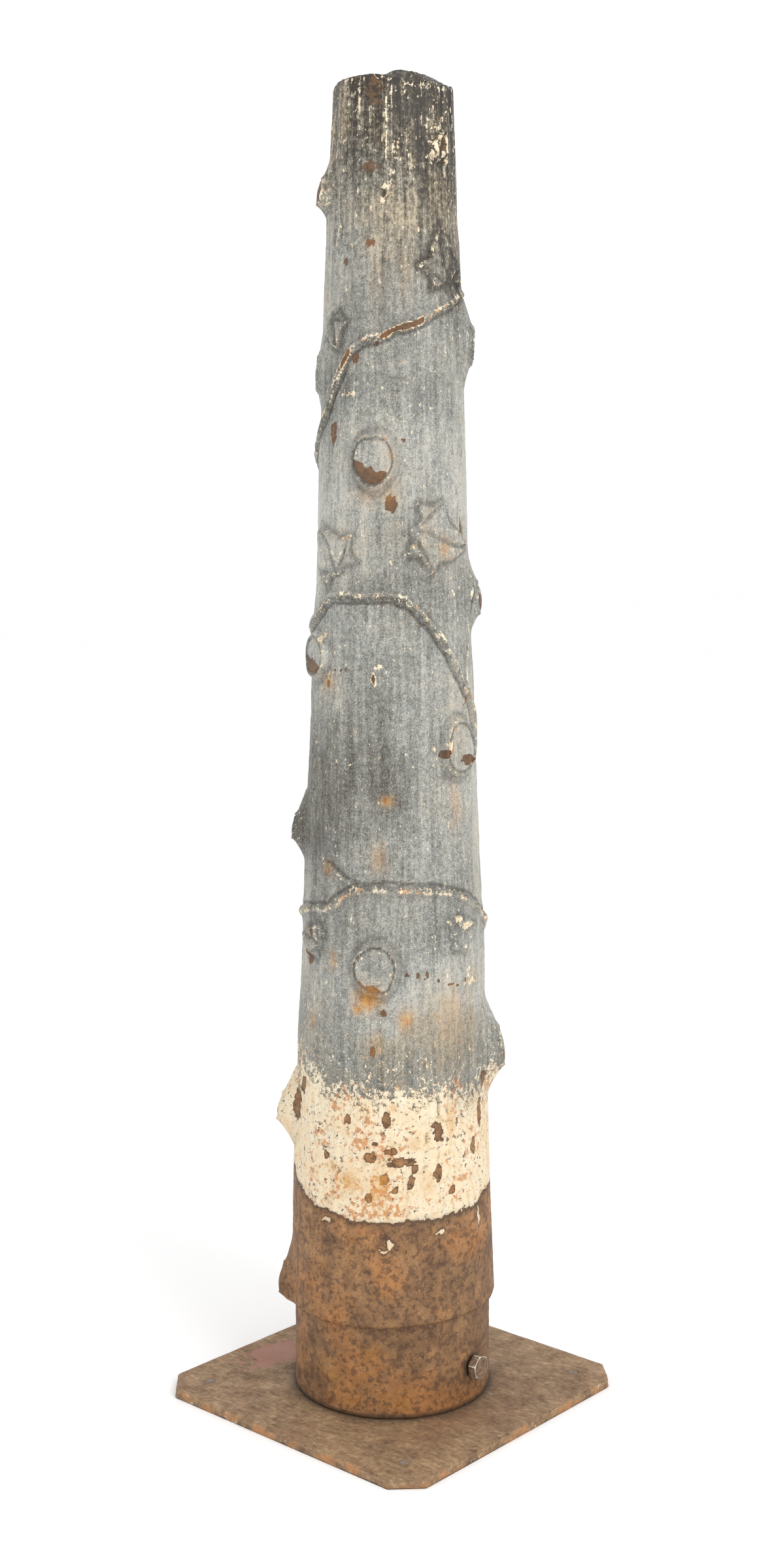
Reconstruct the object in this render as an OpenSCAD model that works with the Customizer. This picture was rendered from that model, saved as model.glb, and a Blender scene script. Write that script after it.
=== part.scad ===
// Hollow iron post cast as an ivy-clad tree trunk, on a square steel plate.
// Angles run counterclockwise from +X as seen from above. Heights in the lists are shares of the trunk's height.

/* [Base plate] */
// Side of the square plate
plate_side = 457; // [420:1:560]
// Thickness of the plate
plate_t = 12.7; // [8:0.1:20]
// Leg of each clipped corner
plate_clip = 34; // [15:1:45]
// Distance of each corner plug from the plate's sides
plug_inset = 50.5; // [40:0.5:60]
// Diameter of the corner plugs
plug_d = 14; // [8:1:24]

/* [Trunk] */
// Height of the trunk from the plate to its flat rim
trunk_h = 1726; // [1300:1:2200]
// Outer radius of the plain collar at the bottom
collar_r = 133.5; // [110:0.5:160]
// Height of the plain collar
collar_h = 126; // [100:1:160]
// Thickness of the iron at the collar
collar_wall = 14; // [8:0.5:18]
// How far the bark stands out over the collar
bark_step = 7; // [3:0.5:14]
// Radius of the bark at the rim
top_r = 76.5; // [60:0.5:95]
// Thickness of the iron around the bore at the top
top_wall = 15.5; // [10:0.5:20]
// Length of the straight bore at the top
bore_len = 80; // [40:1:120]

/* [Broken lip of the rim] */
// Height of the lip above the flat rim, at the bore
lip_rise = 8; // [2:0.5:14]
// Drop of the lip below the flat rim, at the bark
lip_drop = 8; // [4:0.5:20]
// Angle at which the lip starts
lip_from = -54; // [-90:1:0]
// Angle that the lip covers
lip_sweep = 90; // [30:1:150]

/* [Branch stubs] */
// Slope of a stub's cone, root radius over face radius
stub_flare = 1.45; // [1:0.05:1.6]
// Depth that each stub's cone reaches in from its face
stub_depth = 48; // [40:1:60]

/* [Ivy] */
// Radius of the climbing stems
vine_r = 6.5; // [3:0.5:9]
// Height of the leaves above the bark
leaf_proud = 4; // [2:0.5:6]

/* [Spigot] */
// Gap between the collar and the tube stub inside it
spigot_gap = 10; // [9.5:0.5:20]
// Wall of the tube stub
spigot_wall = 8.2; // [4:0.1:12]
// Height of the tube stub
spigot_h = 150; // [90:1:200]
// Leg of the weld around the stub's foot
weld_leg = 8; // [4:0.5:9]

/* [Set bolts] */
// Shank diameter
bolt_d = 19; // [10:0.5:24]
// Head size across its flats
bolt_af = 28.6; // [16:0.1:36]
// Height of the head
bolt_head_h = 12; // [6:0.5:15]
// Height of the bolts above the plate
bolt_z = 52; // [35:1:80]
// Angle of the right-hand bolt
bolt_angle = 5; // [-20:1:20]
// Gap between the head and the collar
head_gap = 3; // [1:0.5:10]

/* [Clearances] */
// Radial clearance of a bolt in its hole
thread_gap = 0.05; // [0.01:0.01:0.1]
// Gap between a bolt's tip and the spigot
tip_gap = 0.3; // [0.2:0.1:1]

/* [Hidden] */

smooth = 96;
fine = 48;
overlap = 1;
// The bark's seam is turned to an angle that no stub crosses
seam_angle = 70;
trunk_z = plate_t;
rim_z = trunk_z + trunk_h;
foot_r = collar_r + bark_step;
collar_bore_r = collar_r - collar_wall;
bore_r = top_r - top_wall;
spigot_r = collar_bore_r - spigot_gap;
plug_offset = plate_side / 2 - plug_inset;
iron = "#8b8e86";
rust = "#8a6648";
steel = "#6f6a60";

// Radius of the bark at a share of the trunk's height
function bark_r(share) = foot_r
    + (top_r - foot_r) * (share * trunk_h - collar_h) / (trunk_h - collar_h);

// Each stub: angle, height share, face radius, how far the face stands out of the bark, upward tilt
stubs = [
    [-130, 0.925, 17, 15, 12],
    [-136, 0.792, 22, 11, 6],
    [44, 0.810, 30, 18, -4],
    [-63, 0.724, 25, 10, 0],
    [37, 0.624, 24, 17, 10],
    [-113, 0.580, 24, 8, 0],
    [2, 0.512, 25, 9, 0],
    [-138, 0.445, 20, 23, 10],
    [-59, 0.348, 27, 10, 0],
    [40, 0.272, 34, 24, 12],
    [-139, 0.222, 22, 29, 8],
    [-136, 0.089, 24, 15, 10],
    [100, 0.862, 20, 12, 5],
    [158, 0.668, 26, 14, 0],
    [96, 0.528, 23, 12, 6],
    [160, 0.372, 28, 16, -4],
    [108, 0.196, 30, 18, 6]
];

// Each stem: angle and height share of the points that it passes through, from end to end
vines = [
    [[42, 0.851], [12, 0.842], [-14, 0.830], [-48, 0.817], [-71, 0.812], [-87, 0.801], [-100, 0.780],
        [-115, 0.758], [-140, 0.735], [-175, 0.705], [-205, 0.690]],
    [[-160, 0.585], [-115, 0.611], [-97, 0.625], [-68, 0.625], [-43, 0.621], [-26, 0.609], [-7, 0.586],
        [8, 0.561], [21, 0.540], [27, 0.503]],
    [[-165, 0.372], [-113, 0.388], [-92, 0.391], [-77, 0.404], [-51, 0.408], [-12, 0.405], [14, 0.392],
        [27, 0.382], [60, 0.362], [95, 0.345]]
];

// Each leaf: angle, height share, length, turn in its own plane
leaves = [
    [2, 0.872, 78, 190],
    [0, 0.952, 46, 160],
    [-103, 0.818, 50, 20],
    [-5, 0.678, 86, 75],
    [-102, 0.660, 74, 215],
    [3, 0.372, 58, 100],
    [-110, 0.366, 56, 250],
    [150, 0.800, 70, 30],
    [-170, 0.560, 74, 200],
    [120, 0.420, 70, 120]
];

// Outline of a lobed ivy leaf one unit long, from its stalk at the origin
leaf_outline = [
    [0, 0], [0.1, 0.14], [0, 0.36], [0.22, 0.34], [0.4, 0.5], [0.5, 0.28], [0.72, 0.2], [1, 0],
    [0.72, -0.2], [0.5, -0.28], [0.4, -0.5], [0.22, -0.34], [0, -0.36], [0.1, -0.14]
];

vine_sides = 6;
vine_steps = 2;

// Point on a smooth curve through four places, at t from the second to the third
function curve(a, b, c, d, t) =
    0.5 * (2 * b + (c - a) * t + (2 * a - 5 * b + 4 * c - d) * t * t + (3 * b - a - 3 * c + d) * t * t * t);

function route(p) = [
    for (i = [0 : len(p) - 2], s = [0 : vine_steps - 1])
        curve(p[max(i - 1, 0)], p[i], p[i + 1], p[min(i + 2, len(p) - 1)], s / vine_steps),
    p[len(p) - 1]
];

function on_bark(place) = [
    bark_r(place[1]) * cos(place[0]),
    bark_r(place[1]) * sin(place[0]),
    trunk_z + place[1] * trunk_h
];

module sweep(path) {
    ends = len(path) - 1;
    rings = [
        for (i = [0 : ends])
            let (
                along = path[min(i + 1, ends)] - path[max(i - 1, 0)],
                out = [path[i][0], path[i][1], 0] / norm([path[i][0], path[i][1]]),
                side = cross(along, out) / norm(cross(along, out))
            )
            for (k = [0 : vine_sides - 1])
                path[i] + vine_r * (cos(360 * k / vine_sides) * out + sin(360 * k / vine_sides) * side)
    ];
    walls = [
        for (i = [0 : ends - 1], k = [0 : vine_sides - 1])
            let (
                a = i * vine_sides + k,
                b = i * vine_sides + (k + 1) % vine_sides,
                c = a + vine_sides,
                d = b + vine_sides
            )
            for (face = [[a, c, b], [b, c, d]]) face
    ];
    first = [for (k = [0 : vine_sides - 1]) k];
    last = [for (k = [vine_sides - 1 : -1 : 0]) ends * vine_sides + k];
    polyhedron(rings, concat(walls, [first, last]));
}

module bark_solid(extra) {
    rotate([0, 0, seam_angle])
        rotate_extrude($fn = smooth)
            polygon([
                [0, trunk_z], [collar_r, trunk_z], [collar_r, trunk_z + collar_h],
                [foot_r + extra, trunk_z + collar_h], [top_r + extra, rim_z], [0, rim_z]
            ]);
}

module stub(place) {
    rotate([0, 0, place[0]])
        translate([bark_r(place[1]) + place[3], 0, trunk_z + place[1] * trunk_h])
            rotate([0, 90 - place[4], 0])
                translate([0, 0, -stub_depth])
                    cylinder(h = stub_depth, r1 = place[2] * stub_flare, r2 = place[2], $fn = fine);
}

module leaf(place) {
    rotate([0, 0, place[0]])
        translate([bark_r(place[1]) - place[2] / 2, 0, trunk_z + place[1] * trunk_h])
            rotate([0, 90, 0])
                rotate([0, 0, place[3]])
                    linear_extrude(place[2])
                        scale(place[2])
                            translate([-0.5, 0])
                                polygon(leaf_outline);
}

// The hollow: the collar's bore, a long taper, then the straight bore at the top
module core() {
    rotate_extrude($fn = smooth)
        polygon([
            [0, trunk_z - overlap], [collar_bore_r, trunk_z - overlap], [collar_bore_r, trunk_z + collar_h],
            [bore_r, rim_z - bore_len], [bore_r, rim_z + lip_rise + overlap], [0, rim_z + lip_rise + overlap]
        ]);
}

module lip_cut() {
    rotate([0, 0, lip_from])
        rotate_extrude(angle = lip_sweep, $fn = smooth)
            polygon([
                [bore_r - overlap, rim_z + overlap], [bore_r - overlap, rim_z - lip_drop],
                [top_r + leaf_proud + overlap, rim_z - lip_drop], [top_r + leaf_proud + overlap, rim_z + overlap]
            ]);
}

module lip() {
    lip_out_r = bark_r(1 - lip_drop / trunk_h);
    rotate([0, 0, lip_from])
        rotate_extrude(angle = lip_sweep, $fn = smooth)
            polygon([[bore_r, rim_z - lip_drop], [lip_out_r, rim_z - lip_drop], [bore_r, rim_z + lip_rise]]);
}

module bolt_holes() {
    for (side = [0, 180])
        rotate([0, 0, bolt_angle + side])
            translate([collar_bore_r - collar_wall, 0, trunk_z + bolt_z])
                rotate([0, 90, 0])
                    cylinder(h = collar_wall * 3, r = bolt_d / 2 + thread_gap, $fn = fine);
}

module base_plate() {
    half = plate_side / 2;
    color(rust)
        difference() {
            linear_extrude(plate_t)
                polygon([
                    for (quarter = [0 : 3], end = [[half, plate_clip - half], [half, half - plate_clip]])
                        [
                            end[0] * cos(90 * quarter) - end[1] * sin(90 * quarter),
                            end[0] * sin(90 * quarter) + end[1] * cos(90 * quarter)
                        ]
                ]);
            for (x = [-plug_offset, plug_offset], y = [-plug_offset, plug_offset])
                translate([x, y, -overlap])
                    cylinder(h = plate_t + 2 * overlap, d = plug_d, $fn = fine);
        }
}

module corner_plug(x_side, y_side) {
    color(steel)
        translate([x_side * plug_offset, y_side * plug_offset, 0])
            cylinder(h = plate_t, d = plug_d, $fn = fine);
}

module spigot_tube() {
    color(steel)
        translate([0, 0, plate_t])
            difference() {
                cylinder(h = spigot_h, r = spigot_r, $fn = smooth);
                translate([0, 0, -overlap])
                    cylinder(h = spigot_h + 2 * overlap, r = spigot_r - spigot_wall, $fn = smooth);
            }
}

module spigot_weld() {
    color(steel)
        translate([0, 0, plate_t])
            rotate_extrude($fn = smooth)
                polygon([[spigot_r, 0], [spigot_r + weld_leg, 0], [spigot_r, weld_leg]]);
}

module trunk_casting() {
    color(iron)
        difference() {
            union() {
                difference() {
                    bark_solid(0);
                    lip_cut();
                }
                lip();
                for (place = stubs)
                    stub(place);
                intersection() {
                    bark_solid(leaf_proud);
                    for (place = leaves)
                        leaf(place);
                }
                for (points = vines)
                    sweep([for (place = route(points)) on_bark(place)]);
            }
            core();
            bolt_holes();
        }
}

module set_bolt(side) {
    tip_r = spigot_r + tip_gap;
    head_r = collar_r + head_gap;
    color(rust)
        rotate([0, 0, bolt_angle + side])
            translate([0, 0, trunk_z + bolt_z])
                rotate([0, 90, 0]) {
                    translate([0, 0, tip_r])
                        cylinder(h = head_r - tip_r + overlap, d = bolt_d, $fn = fine);
                    translate([0, 0, head_r])
                        cylinder(h = bolt_head_h, d = bolt_af / cos(30), $fn = 6);
                }
}

base_plate();
corner_plug(1, -1);  // corner_plug_front
corner_plug(1, 1);  // corner_plug_right
corner_plug(-1, 1);  // corner_plug_back
corner_plug(-1, -1);  // corner_plug_left
spigot_tube();
spigot_weld();
trunk_casting();
set_bolt(0);  // set_bolt_right
set_bolt(180);  // set_bolt_left
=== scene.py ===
import math
import bpy
import numpy as np
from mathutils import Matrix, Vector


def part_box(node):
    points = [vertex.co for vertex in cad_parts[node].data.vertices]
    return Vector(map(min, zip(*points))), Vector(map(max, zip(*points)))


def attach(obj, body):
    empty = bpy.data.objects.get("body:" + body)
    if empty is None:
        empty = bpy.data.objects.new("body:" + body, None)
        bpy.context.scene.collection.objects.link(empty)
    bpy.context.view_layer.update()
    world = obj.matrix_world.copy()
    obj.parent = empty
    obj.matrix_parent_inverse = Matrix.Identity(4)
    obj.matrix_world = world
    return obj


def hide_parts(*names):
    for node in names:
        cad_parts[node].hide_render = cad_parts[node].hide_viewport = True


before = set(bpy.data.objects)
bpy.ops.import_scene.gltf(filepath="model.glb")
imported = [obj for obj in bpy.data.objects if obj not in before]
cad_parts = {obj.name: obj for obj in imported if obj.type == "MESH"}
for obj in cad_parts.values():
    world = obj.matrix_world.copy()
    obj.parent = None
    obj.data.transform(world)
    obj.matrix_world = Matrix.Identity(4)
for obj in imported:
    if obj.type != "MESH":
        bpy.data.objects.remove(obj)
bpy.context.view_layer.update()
scene = bpy.context.scene


# Camera
view = {"place": (1.668, -1.882, 1.138), "turn": (83.25, 0, 41.75), "lens": 43.5, "sensor": 36}
cameraData = bpy.data.cameras.new("front_camera")
cameraData.sensor_fit = "VERTICAL"
cameraData.sensor_height = view["sensor"]
cameraData.lens = view["lens"]
camera = bpy.data.objects.new("front_camera", cameraData)
camera.location = view["place"]
camera.rotation_euler = [math.radians(value) for value in view["turn"]]
scene.collection.objects.link(camera)
scene.camera = camera
scene.view_settings.view_transform = "Standard"


# Small helpers
def smoothStep(low, high, value):
    share = np.clip((value - low) / (high - low), 0, 1)
    return share * share * (3 - 2 * share)


def wrapped(turn):
    return (turn + math.pi) % (2 * math.pi) - math.pi


lightLevel = 1.4  # How strongly the studio lights the front of the post


def tint(red, green, blue):
    # A colour as it looks in the studio, taken back to the surface's own colour
    channels = [value / 255 for value in (red, green, blue)]
    channels = [value / 12.92 if value < 0.04 else ((value + 0.055) / 1.055) ** 2.4 for value in channels]
    return [value / lightLevel for value in channels] + [1]


def wander(seed, columns, rows, across, along):
    # Smooth noise from -1 to 1: across wraps round at 1, along runs from 0 to 1
    table = np.random.default_rng(seed).uniform(-1, 1, (rows + 2, columns))
    x = (across % 1) * columns
    y = np.clip(along, 0, 1) * rows
    column = np.floor(x).astype(int)
    row = np.floor(y).astype(int)
    x = smoothStep(0, 1, x - column)
    y = smoothStep(0, 1, y - row)
    left = table[row, column % columns] * (1 - y) + table[row + 1, column % columns] * y
    right = table[row, (column + 1) % columns] * (1 - y) + table[row + 1, (column + 1) % columns] * y
    return left * (1 - x) + right * x


def curveThrough(points, steps):
    # A smooth curve through every point, with some steps between each two
    points = np.array(points, float)
    out = []
    for i in range(len(points) - 1):
        a, b, c, d = points[max(i - 1, 0)], points[i], points[i + 1], points[min(i + 2, len(points) - 1)]
        for t in np.arange(steps) / steps:
            bend = (2 * a - 5 * b + 4 * c - d) * t * t + (3 * b - a - 3 * c + d) * t ** 3
            out.append(0.5 * (2 * b + (c - a) * t + bend))
    return np.array(out + [points[-1]])


def ringFaces(rings, columns, closed):
    # Four-sided faces between rings of points that run counterclockwise seen from above
    faces = []
    for ring in range(rings if closed else rings - 1):
        low = ring * columns
        high = (ring + 1) % rings * columns
        for column in range(columns):
            after = (column + 1) % columns
            faces.append((low + column, low + after, high + after, high + column))
    return faces


def bridge(lower, upper):
    # Four-sided faces between two closed loops of point numbers
    faces = []
    for i in range(len(lower)):
        after = (i + 1) % len(lower)
        faces.append((lower[i], lower[after], upper[after], upper[i]))
    return faces


def cappedFaces(rings, columns):
    # Faces between rings of points, closed at the bottom and the top
    faces = ringFaces(rings, columns, False)
    faces.append(tuple(reversed(range(columns))))
    faces.append(tuple(range((rings - 1) * columns, rings * columns)))
    return faces


def makePiece(name, points, faces, body, node, material, marks=None, smooth=True):
    mesh = bpy.data.meshes.new(name)
    mesh.from_pydata(np.asarray(points).reshape(-1, 3).tolist(), [], faces)
    mesh.polygons.foreach_set("use_smooth", [smooth] * len(mesh.polygons))
    for mark, values in (marks or {}).items():
        layer = mesh.attributes.new(mark, "FLOAT", "POINT")
        layer.data.foreach_set("value", np.asarray(values, np.float32).ravel())
    mesh.materials.append(material)
    mesh.validate()
    piece = bpy.data.objects.new(name, mesh)
    scene.collection.objects.link(piece)
    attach(piece, body)
    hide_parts(node)


# Material helpers
def startMaterial(name):
    material = bpy.data.materials.new(name)
    material.use_nodes = True
    tree = material.node_tree
    tree.nodes.clear()

    def make(kind, inputs, **settings):
        node = tree.nodes.new("ShaderNode" + kind)
        for key, value in settings.items():
            setattr(node, key, value)
        for key, value in inputs.items():
            if isinstance(value, bpy.types.NodeSocket):
                tree.links.new(value, node.inputs[key])
            else:
                node.inputs[key].default_value = value
        return node

    def noise(scale, detail, rough, stretch=(1, 1, 1), turn=0):
        spot = make("TexCoord", {}).outputs["Object"]
        place = make("Mapping", {"Vector": spot, "Rotation": (0, 0, turn), "Scale": stretch})
        settings = {"Vector": place.outputs["Vector"], "Scale": scale, "Detail": detail, "Roughness": rough}
        return make("TexNoise", settings).outputs["Fac"]

    def ramp(value, stops):
        # Each stop is a position and its colour in the studio. A moved stop can change places with the next,
        # so the colours come last.
        node = make("ValToRGB", {"Fac": value})
        band = node.color_ramp
        while len(band.elements) < len(stops):
            band.elements.new(0.5)
        for element, stop in zip(band.elements, stops):
            element.position = stop[0]
        for element, stop in zip(band.elements, stops):
            element.color = tint(*stop[1:])
        return node.outputs["Color"]

    def between(value, low, high, start=0.0, end=1.0):
        settings = {"Value": value, "From Min": low, "From Max": high, "To Min": start, "To Max": end}
        return make("MapRange", settings).outputs["Result"]

    def add(*values):
        out = values[0]
        for value in values[1:]:
            out = make("Math", {0: out, 1: value}, operation="ADD").outputs[0]
        return out

    def times(value, amount):
        return make("Math", {0: value, 1: amount}, operation="MULTIPLY").outputs[0]

    def around(value, amount, middle=0.5):
        # A noise made to swing to both sides of zero
        return times(make("Math", {0: value, 1: middle}, operation="SUBTRACT").outputs[0], amount)

    def blend(share, a, b, how="MIX"):
        return make("Mix", {0: share, 6: a, 7: b}, data_type="RGBA", blend_type=how).outputs[2]

    def mark(attribute):
        return make("Attribute", {}, attribute_name=attribute).outputs["Fac"]

    def finish(colour, rough, height, depth, metallic=0.0):
        bump = make("Bump", {"Height": height, "Distance": depth, "Strength": 1.0}).outputs["Normal"]
        looks = {"Base Color": colour, "Roughness": rough, "Metallic": metallic, "Normal": bump}
        make("OutputMaterial", {"Surface": make("BsdfPrincipled", looks).outputs["BSDF"]})
        return material

    return (noise, ramp, between, add, times, blend, finish), around, mark


def paintedIron():
    # Grey paint over cream undercoat over rusty iron. The wear mark shows the undercoat, the bare mark
    # the iron. The smoke mark breaks the grey into soot and undercoat near the rim.
    (noise, ramp, between, add, times, blend, finish), around, mark = startMaterial("painted_iron")
    coarse = noise(11, 6, 0.6)
    patchy = noise(42, 8, 0.68)
    spotty = noise(125, 4, 0.6)
    fine = noise(160, 6, 0.7)
    grain = noise(560, 4, 0.7)
    specks = noise(240, 2, 0.5, (1, 1, 0.55))
    streaks = noise(52, 6, 0.62, (1, 1, 0.07))
    thinStreaks = noise(190, 6, 0.7, (1, 1, 0.05))
    smoke = mark("smoke")

    wear = add(mark("wear"), around(patchy, 0.2), around(fine, 0.4), around(grain, 0.24),
               around(thinStreaks, 0.04), between(specks, 0.64, 0.7, 0.0, 0.13))
    toCream = between(wear, 0.495, 0.51)
    bare = add(mark("bare"), around(patchy, 0.9), around(fine, 1.1), around(grain, 0.5))
    toRust = between(bare, 0.49, 0.52)

    # The tone mark carries painted light and shade by side and painted shade in the grooves, over the paint's
    # own tone
    tone = add(mark("tone"), around(streaks, 0.5), around(coarse, 0.5), around(patchy, 0.3),
               around(thinStreaks, 0.75), around(fine, 0.8), around(grain, 1.5))
    flecks = times(between(thinStreaks, 0.54, 0.64), between(fine, 0.46, 0.6, 0.0, 0.46))
    strong = add(around(streaks, 1.1), around(thinStreaks, 1.3), around(fine, 1.4), around(coarse, 0.5),
                 flecks)
    tone = add(tone, times(smoke, strong))
    grey = ramp(tone, [(0.0, 44, 38, 30), (0.2, 74, 68, 57), (0.4, 112, 108, 98),
                       (0.56, 138, 139, 132), (0.72, 168, 169, 162), (1.0, 216, 213, 202)])
    warm = times(between(add(coarse, around(streaks, 0.4)), 0.42, 0.62), mark("warmth"))
    grey = blend(warm, grey, (0.8, 0.63, 0.42, 1), "MULTIPLY")
    sooty = times(smoke, between(coarse, 0.35, 0.6, 0.35, 0.9))
    grey = blend(sooty, grey, (0.92, 0.8, 0.62, 1), "MULTIPLY")

    cream = ramp(add(times(patchy, 0.6), times(fine, 0.4)),
                 [(0.36, 230, 198, 154), (0.46, 255, 230, 190), (0.6, 262, 250, 222)])
    rusty = between(add(times(spotty, 0.5), times(coarse, 0.5)), 0.54, 0.58)
    cream = blend(times(rusty, between(smoke, 0, 1, 0.8, 0.1)), cream, tint(216, 140, 76))

    rust = ramp(add(times(patchy, 0.5), times(fine, 0.5), around(grain, 0.3)),
                [(0.37, 92, 62, 38), (0.45, 142, 102, 64), (0.53, 178, 132, 86), (0.63, 212, 162, 108)])
    rust = blend(between(coarse, 0.48, 0.62, 0.0, 0.5), rust, tint(206, 132, 62))
    rust = blend(between(spotty, 0.52, 0.58, 0.0, 0.62), rust, tint(92, 62, 42))
    rust = blend(between(add(fine, around(coarse, -0.8)), 0.52, 0.6, 0.0, 0.45), rust, tint(104, 72, 50))
    rust = blend(between(mark("bare"), 0.92, 0.99, 0.62, 0.0), rust, tint(84, 60, 42))  # chips are darker

    colour = blend(toRust, blend(toCream, grey, cream), rust)
    stain = times(mark("stain"), between(add(patchy, around(streaks, 0.4)), 0.3, 0.54))
    colour = blend(stain, colour, ramp(fine, [(0.38, 206, 124, 20), (0.6, 240, 178, 56)]))
    # Grime and painted shade: this mark darkens the grooves, the hollows, the foot of the collar and the
    # collar behind the bolts
    grime = times(mark("grime"), between(patchy, 0.3, 0.6, 0.6, 1.0))
    colour = blend(grime, colour, tint(54, 46, 36))
    height = add(times(toCream, -0.3), times(toRust, -0.35), times(fine, 0.5), times(grain, 0.35),
                 times(thinStreaks, 0.5), times(patchy, 0.4))
    return finish(colour, between(toCream, 0, 1, 0.5, 0.7), height, 0.0009)


def rustySteel(name, stops, orange, scale, metallic, depth):
    noise, ramp, between, add, times, blend, finish = startMaterial(name)[0]
    coarse = noise(9 * scale, 6, 0.6)
    patchy = noise(38 * scale, 8, 0.7)
    fine = noise(170 * scale, 6, 0.7)
    grain = noise(700, 3, 0.6)
    colour = ramp(add(times(patchy, 0.55), times(fine, 0.45)), stops)
    colour = blend(between(coarse, 0.5, 0.68), colour, tint(*orange))
    colour = blend(0.4, colour, ramp(fine, stops))
    height = add(times(patchy, 0.5), times(fine, 0.5), times(grain, 0.3))
    return finish(colour, between(patchy, 0.3, 0.7, 0.9, 0.62), height, depth, metallic)


# Trunk casting. The dictionary is in metres. The tables below it give angles in degrees counterclockwise
# from +X, heights in millimetres above the plate, and widths and lengths in millimetres.
trunk = {
    "columns": 440, "collarRows": 40, "barkRows": 560,
    "collarRadius": 0.1335, "collarHeight": 0.126, "collarWall": 0.014, "collarFoot": 0.0015,
    "barkStep": 0.007, "stepHeight": 0.125, "rimRadius": 0.0765, "rimWall": 0.0155, "boreLength": 0.08,
    "lipRise": 0.008,
    "boltAngle": 5, "boltHeight": 0.052, "boltHole": 0.00955,
    "boltPatchLow": 0.015, "boltRows": 9, "boltColumns": 7,  # the patch of faces that each bolt hole replaces
    "flashAngle": -55,
}
# Marks of the surfaces that carry no bark: the rusty collar, the sooty rim and the dark inside
usualMarks = {
    "collar": {"wear": 0.8, "bare": 1.0, "tone": 0.3, "smoke": 0.0, "warmth": 0.3, "stain": 0, "grime": 0.18},
    "rim": {"wear": 0.4, "bare": 0.24, "tone": 0.2, "smoke": 1.0, "warmth": 0.9, "stain": 0, "grime": 0.38},
    "bore": {"wear": 0.8, "bare": 1.0, "tone": 0.2, "smoke": 0.0, "warmth": 0.2, "stain": 0, "grime": 0.55},
}
# The broken lip of the rim: angle, drop of its outer edge, rise of its inner edge
lip = [(-62, 0, 0), (-54, 4, 4), (-42, 6.5, 8), (-26, 8, 7), (0, 7.5, 4.5), (22, 4, 2.5), (40, 0, 0)]
# Each stub: angle, height, half width, half height of its face, how far that stands out, tilt, how many
# times its size it reaches above and below, and the share of its face that is bare
stubs = [
    (-130, 1594, 11, 15, 16, 12, 3.2, 2.5, 0.9),
    (-136, 1366, 16, 18, 10, 4, 3.2, 2.9, 0.0),
    (44, 1402, 15, 20, 17, -2, 3.9, 3.1, 0.0),
    (-63, 1249, 23, 28, 8, 1, 1.5, 1.45, 0.34),
    (37, 1077, 14, 18, 15, 6, 3.3, 2.8, 0.5),
    (-113, 1001, 21, 23, 9, 2, 1.7, 1.6, 0.4),
    (2, 883, 24, 30, 7, 2, 1.45, 1.4, 0.0),
    (-138, 771, 12, 14, 20, 10, 4.3, 3.6, 0.12),
    (-59, 600, 24, 28, 7, 2, 1.4, 1.35, 0.14),
    (40, 472, 16, 22, 25, 9, 3.8, 3.2, 0.3),
    (-139, 386, 13, 15, 26, 14, 4.8, 4.0, 0.5),
    (-136, 146, 15, 17, 16, 12, 3.6, 3.0, 0.9),
    (100, 1488, 20, 22, 12, 5, 2.0, 1.6, 0.3),
    (158, 1153, 26, 28, 12, 2, 1.6, 1.4, 0.3),
    (96, 911, 23, 25, 12, 6, 1.8, 1.5, 0.2),
    (160, 642, 28, 30, 15, 4, 1.7, 1.5, 0.3),
    (108, 338, 30, 32, 18, 6, 1.8, 1.5, 0.5),
]
# Each stem: its points as angle and height
stems = [
    [(42, 1469), (12, 1453), (-14, 1433), (-30, 1420), (-48, 1411), (-56, 1404), (-71, 1399), (-87, 1383),
     (-100, 1348), (-115, 1308), (-140, 1268), (-175, 1217), (-205, 1191)],
    [(-160, 1010), (-115, 1054), (-97, 1077), (-68, 1078), (-43, 1076), (-26, 1051), (-7, 1011), (8, 967),
     (21, 931), (27, 867)],
    [(-165, 642), (-113, 669), (-92, 675), (-77, 698), (-51, 705), (-12, 698), (14, 676), (27, 659),
     (60, 625), (95, 595)],
    [(-94, 733), (-85, 721), (-77, 712), (-67, 706)],
    [(26, 1110), (20, 1040), (14, 970), (8, 940)],
]
stemWidth = (5.8, 6.4, 6.2, 4.0, 2.6)  # half width of each stem
# Bare stretches of a stem: which stem, from and to as angles
bareStems = [(0, -58, -24), (0, -92, -84)]
# Each leaf: angle, height, length, turn in its own plane
leaves = [
    (-1, 1506, 82, 190), (0, 1643, 46, 160), (-103, 1411, 50, 20), (-8, 1150, 98, 75), (-102, 1139, 80, 215),
    (3, 643, 58, 100), (-110, 632, 56, 250), (150, 1381, 70, 30), (-170, 967, 74, 200), (120, 725, 70, 120),
]
leafOutline = [(0, 0), (0.1, 0.14), (0, 0.36), (0.22, 0.34), (0.4, 0.5), (0.5, 0.28), (0.72, 0.2), (1, 0),
               (0.72, -0.2), (0.5, -0.28), (0.4, -0.5), (0.22, -0.34), (0, -0.36), (0.1, -0.14)]
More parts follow.
